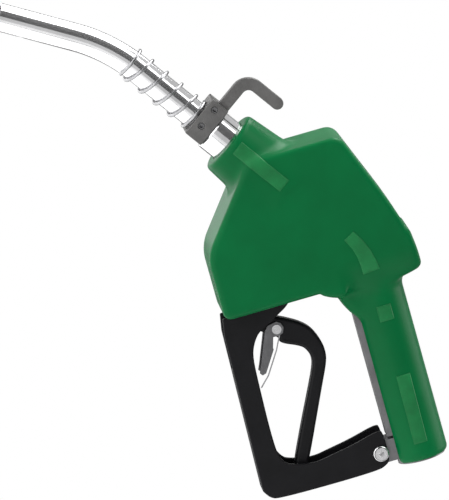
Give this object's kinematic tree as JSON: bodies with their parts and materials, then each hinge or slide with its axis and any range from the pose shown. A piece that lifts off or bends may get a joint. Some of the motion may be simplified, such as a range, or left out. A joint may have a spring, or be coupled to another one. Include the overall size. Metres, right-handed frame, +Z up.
{
  "type": "fuel nozzle",
  "caption": "Automatic shut-off fuel nozzle with a green slip-on cover, bent chrome spout, anchor spring, hang-up hook, black hand guard and squeeze lever.",
  "frame": {"origin": "centre of the mouth of the inlet thread, at the handle's free end", "axes": "+X out of the inlet along the handle, +Z up with the guard and the lever below, +Y to complete a right-handed frame; Y = 0 is the symmetry plane"},
  "size_m": [0.4216, 0.062, 0.261],
  "materials": {
    "green_vinyl": "semi-gloss moulded vinyl",
    "cast_aluminium": "as cast, satin",
    "chrome_plate": "polished",
    "spring_steel": "bright drawn wire",
    "blasted_steel": "bead blasted, matt grey",
    "black_coating": "satin black powder coat",
    "bright_steel": "zinc plated",
    "dark_steel": "dark phosphated",
    "hard_steel": "ground",
    "brass": "machined",
    "black_rubber": "moulded"
  },
  "bodies": {
    "frame": {"anchor_spring": "spring_steel", "ball_holder": "brass", "body_cap": "cast_aluminium", "body_casting": "cast_aluminium", "cap_seal": "black_rubber", "check_guide": "cast_aluminium", "check_seat": "brass", "check_spring": "spring_steel", "collar": "blasted_steel", "collar_set_screws": "dark_steel", "cover": "green_vinyl", "diaphragm": "black_rubber", "diaphragm_spring": "spring_steel", "guard_rivet": "bright_steel", "guard_screws": "bright_steel", "hand_guard": "black_coating", "hang_up_hook": "blasted_steel", "inlet_strainer": "bright_steel", "latch_ring": "hard_steel", "main_spring": "spring_steel", "packing_nut": "brass", "plunger_spring": "spring_steel", "plunger_spring_seat": "bright_steel", "sensing_port": "brass", "spout_barrel": "chrome_plate", "spout_lock_screw": "bright_steel", "spout_seal_ring": "black_rubber", "spout_tube": "chrome_plate", "stem_packing": "black_rubber", "vacuum_cap": "cast_aluminium", "vacuum_cap_screws": "bright_steel", "vacuum_tube": "brass"},
    "main_valve": {"main_seal": "black_rubber", "main_poppet": "brass", "valve_stem": "hard_steel", "stem_nut": "bright_steel"},
    "plunger": {"latch_plunger": "hard_steel", "plunger_collar": "bright_steel", "lever_pin": "bright_steel", "lever_pin_ring": "bright_steel"},
    "latch_ball_1": {"latch_ball_1": "hard_steel"},
    "latch_ball_2": {"latch_ball_2": "hard_steel"},
    "latch_ball_3": {"latch_ball_3": "hard_steel"},
    "latch_pin": {"latch_pin": "hard_steel", "diaphragm_plate": "cast_aluminium"},
    "lever": {"lever": "black_coating", "clip_rivet": "bright_steel", "clip_spring": "spring_steel"},
    "hold_open_clip": {"hold_open_clip": "dark_steel"},
    "check_valve": {"check_poppet": "brass"},
    "attitude_ball": {"attitude_ball": "hard_steel"}
  },
  "joints": [
    {"name": "plunger_slide", "type": "slide", "parent": "frame", "child": "plunger", "axis": [0, 0, -1], "range_m": [0, 0.006], "stiffness_N_per_m": 1500, "springref_m": -0.006, "deforming": ["plunger_spring"]},
    {"name": "lever_hinge", "type": "hinge", "parent": "plunger", "child": "lever", "pos_m": [-0.199, 0, -0.098], "axis": [0, -1, 0], "range_deg": [0, 13], "stiffness_Nm_per_rad": 3, "springref_deg": -5.73},
    {"name": "valve_slide", "type": "slide", "parent": "frame", "child": "main_valve", "axis": [0, 0, 1], "range_m": [0, 0.008], "deforming": ["main_spring"]},
    {"name": "clip_hinge", "type": "hinge", "parent": "lever", "child": "hold_open_clip", "pos_m": [-0.1267, 0, -0.0802], "axis": [0, 1, 0], "range_deg": [0, 55], "stiffness_Nm_per_rad": 0.05, "springref_deg": -17.19},
    {"name": "latch_pin_slide", "type": "slide", "parent": "frame", "child": "latch_pin", "axis": [0, 0, 1], "range_m": [0, 0.003], "stiffness_N_per_m": 600, "springref_m": -0.001, "deforming": ["diaphragm_spring"]},
    {"name": "check_valve_slide", "type": "slide", "parent": "frame", "child": "check_valve", "axis": [-0.8192, 0, -0.5736], "range_m": [0, 0.006], "stiffness_N_per_m": 200, "springref_m": -0.002, "deforming": ["check_spring"]},
    {"name": "attitude_ball_slide", "type": "slide", "parent": "frame", "child": "attitude_ball", "axis": [0.518, 0, 0.8554], "range_m": [0, 0.005]},
    {"name": "latch_ball_1_slide", "type": "slide", "parent": "plunger", "child": "latch_ball_1", "axis": [-1, 0, 0], "range_m": [0, 0.0015]},
    {"name": "latch_ball_2_slide", "type": "slide", "parent": "plunger", "child": "latch_ball_2", "axis": [0.5, -0.866, 0], "range_m": [0, 0.0015]},
    {"name": "latch_ball_3_slide", "type": "slide", "parent": "plunger", "child": "latch_ball_3", "axis": [0.5, 0.866, 0], "range_m": [0, 0.0015]}
  ],
  "couplings": [
    {"joint": "valve_slide", "follows": "lever_hinge", "m_per_rad": 0.034},
    {"joint": "latch_ball_1_slide", "follows": "plunger_slide", "ratio": 0.25},
    {"joint": "latch_ball_2_slide", "follows": "plunger_slide", "ratio": 0.25},
    {"joint": "latch_ball_3_slide", "follows": "plunger_slide", "ratio": 0.25}
  ]
}
